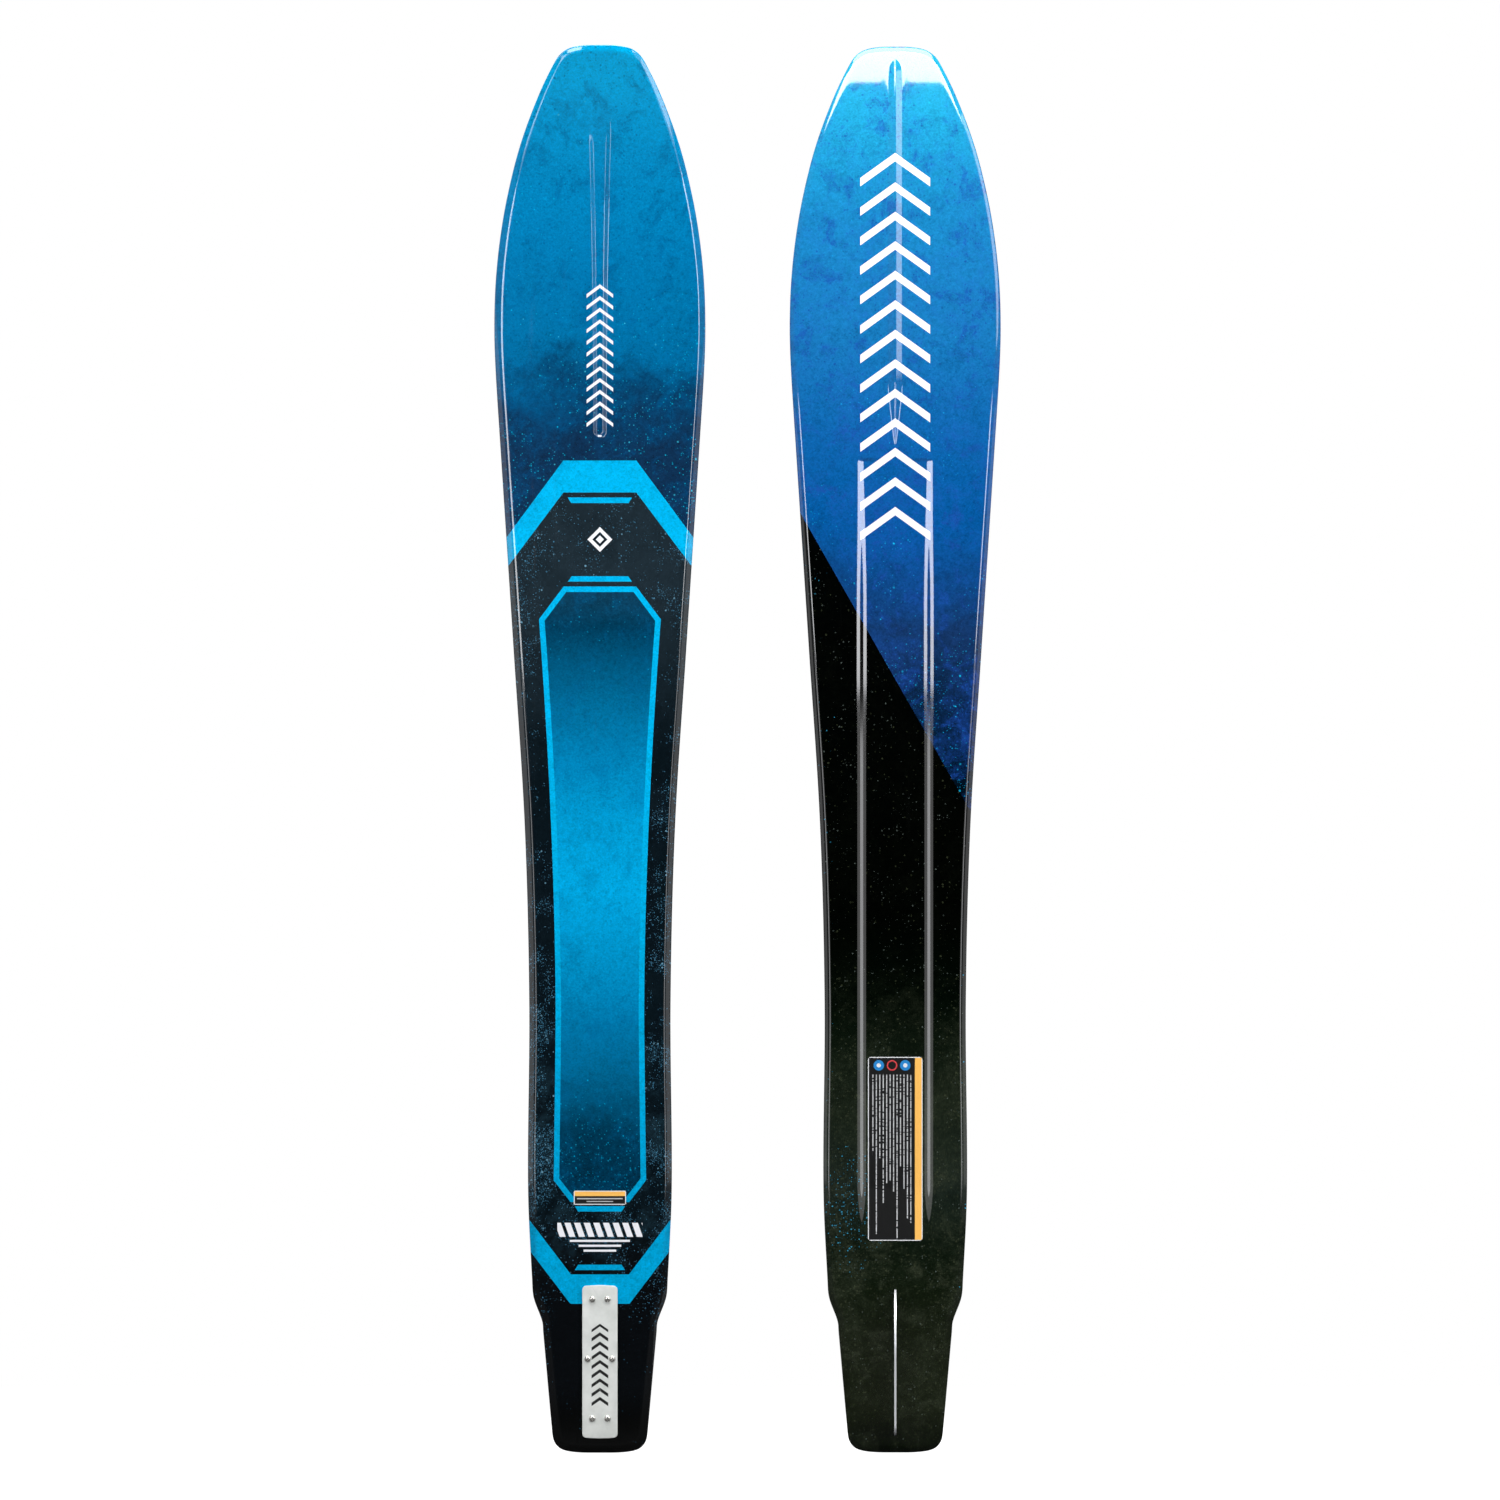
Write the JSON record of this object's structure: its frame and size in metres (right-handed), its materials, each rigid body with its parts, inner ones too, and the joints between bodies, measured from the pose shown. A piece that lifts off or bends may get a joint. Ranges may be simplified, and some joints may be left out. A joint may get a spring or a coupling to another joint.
{
  "type": "water ski pair",
  "caption": "Pair of wide moulded water skis with printed decks and bases, tunnel, keel and drop-through aluminium fins under screwed cover plates.",
  "frame": {"origin": "middle of the pair at the tail ends, in the plane of the two flat bases", "axes": "+Z from tails to tips, +X from the left ski to the right ski, -Y the way the left deck and the right base face"},
  "size_m": [0.631, 0.2126, 1.753],
  "materials": {
    "deck_print": "gloss",
    "base_print": "gloss",
    "laminate": "satin",
    "foam": "matte",
    "insert_plate": "satin",
    "insert": "satin",
    "block": "satin",
    "gasket": "matte",
    "brass_insert": "satin",
    "deck_sticker": "satin",
    "base_sticker": "satin",
    "fin": "satin",
    "flange": "satin",
    "cover": "satin",
    "screw": "polished"
  },
  "bodies": {
    "left_ski": {"left_top_sheet": "deck_print", "left_top_laminate": "laminate", "left_foam_core": "foam", "left_bottom_laminate": "laminate", "left_base_sheet": "base_print", "left_front_insert_plate": "insert_plate", "left_rear_insert_plate": "insert_plate", "left_front_boot_inserts": "insert", "left_rear_boot_inserts": "insert", "left_fin_block": "block", "left_fin_gasket": "gasket", "left_fin_inserts": "brass_insert", "left_deck_label": "deck_sticker", "left_base_label": "base_sticker"},
    "left_fin": {"left_fin_blade": "fin", "left_fin_flange_inner": "flange", "left_fin_flange_outer": "flange", "left_fin_rivets": "flange"},
    "left_fin_cover": {"left_fin_cover_plate": "cover"},
    "left_fin_fasteners": {"left_fin_screws": "screw"},
    "right_ski": {"right_top_sheet": "deck_print", "right_top_laminate": "laminate", "right_foam_core": "foam", "right_bottom_laminate": "laminate", "right_base_sheet": "base_print", "right_front_insert_plate": "insert_plate", "right_rear_insert_plate": "insert_plate", "right_front_boot_inserts": "insert", "right_rear_boot_inserts": "insert", "right_fin_block": "block", "right_fin_gasket": "gasket", "right_fin_inserts": "brass_insert", "right_deck_label": "deck_sticker", "right_base_label": "base_sticker"},
    "right_fin": {"right_fin_blade": "fin", "right_fin_flange_inner": "flange", "right_fin_flange_outer": "flange", "right_fin_rivets": "flange"},
    "right_fin_cover": {"right_fin_cover_plate": "cover"},
    "right_fin_fasteners": {"right_fin_screws": "screw"}
  },
  "joints": [
    {"name": "right_ski_apart", "type": "slide", "parent": "left_ski", "child": "right_ski", "axis": [1, 0, 0], "range_m": [0, 0.2]},
    {"name": "left_fin_lift", "type": "slide", "parent": "left_ski", "child": "left_fin", "axis": [0, -1, 0], "range_m": [0, 0.095]},
    {"name": "left_cover_lift", "type": "slide", "parent": "left_fin", "child": "left_fin_cover", "axis": [0, -1, 0], "range_m": [0, 0.03]},
    {"name": "left_screws_out", "type": "slide", "parent": "left_fin_cover", "child": "left_fin_fasteners", "axis": [0, -1, 0], "range_m": [0, 0.02]},
    {"name": "right_fin_lift", "type": "slide", "parent": "right_ski", "child": "right_fin", "axis": [0, 1, 0], "range_m": [0, 0.095]},
    {"name": "right_cover_lift", "type": "slide", "parent": "right_fin", "child": "right_fin_cover", "axis": [0, 1, 0], "range_m": [0, 0.03]},
    {"name": "right_screws_out", "type": "slide", "parent": "right_fin_cover", "child": "right_fin_fasteners", "axis": [0, 1, 0], "range_m": [0, 0.02]}
  ]
}
